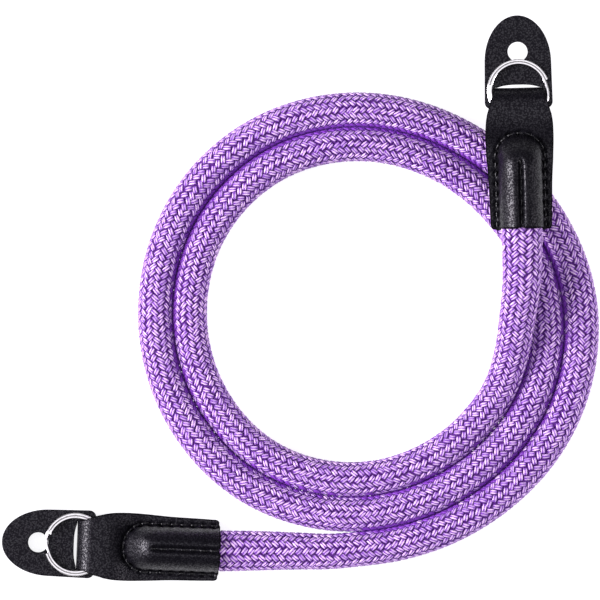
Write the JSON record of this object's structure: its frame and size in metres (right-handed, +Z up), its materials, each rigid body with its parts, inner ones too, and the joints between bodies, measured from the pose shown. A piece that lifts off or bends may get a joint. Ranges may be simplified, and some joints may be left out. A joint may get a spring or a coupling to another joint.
{
  "type": "rope camera strap",
  "caption": "Braided rope camera strap lying in a flat coil, with stitched leather ends that carry split rings and round-holed protector flaps.",
  "frame": {"origin": "on the table, under the middle of the box round the two leather ends with their flaps and rings", "axes": "+Z up from the table; end A points along -X and end B along +Y, and the coil lies between them"},
  "size_m": [0.1786, 0.1697, 0.0249],
  "materials": {
    "rope_fabric": "tight diamond braid with a soft sheen",
    "black_leather": "fine-grained, semi-matte",
    "ring_steel": "polished nickel-plated spring steel"
  },
  "bodies": {
    "root": {"rope": "rope_fabric", "end_a_leather": "black_leather", "end_a_flap": "black_leather", "end_b_leather": "black_leather", "end_b_flap": "black_leather"},
    "ring_a": {"end_a_ring": "ring_steel"},
    "ring_b": {"end_b_ring": "ring_steel"}
  },
  "joints": [
    {"name": "ring_a_turn", "type": "hinge", "parent": "root", "child": "ring_a", "pos_m": [-0.06106, -0.07389, 0.00447], "axis": [0, 0, 1], "continuous": true},
    {"name": "ring_b_turn", "type": "hinge", "parent": "root", "child": "ring_b", "pos_m": [0.07178, 0.06227, 0.01335], "axis": [-0.0018, 0.0871, 0.9962], "continuous": true}
  ]
}
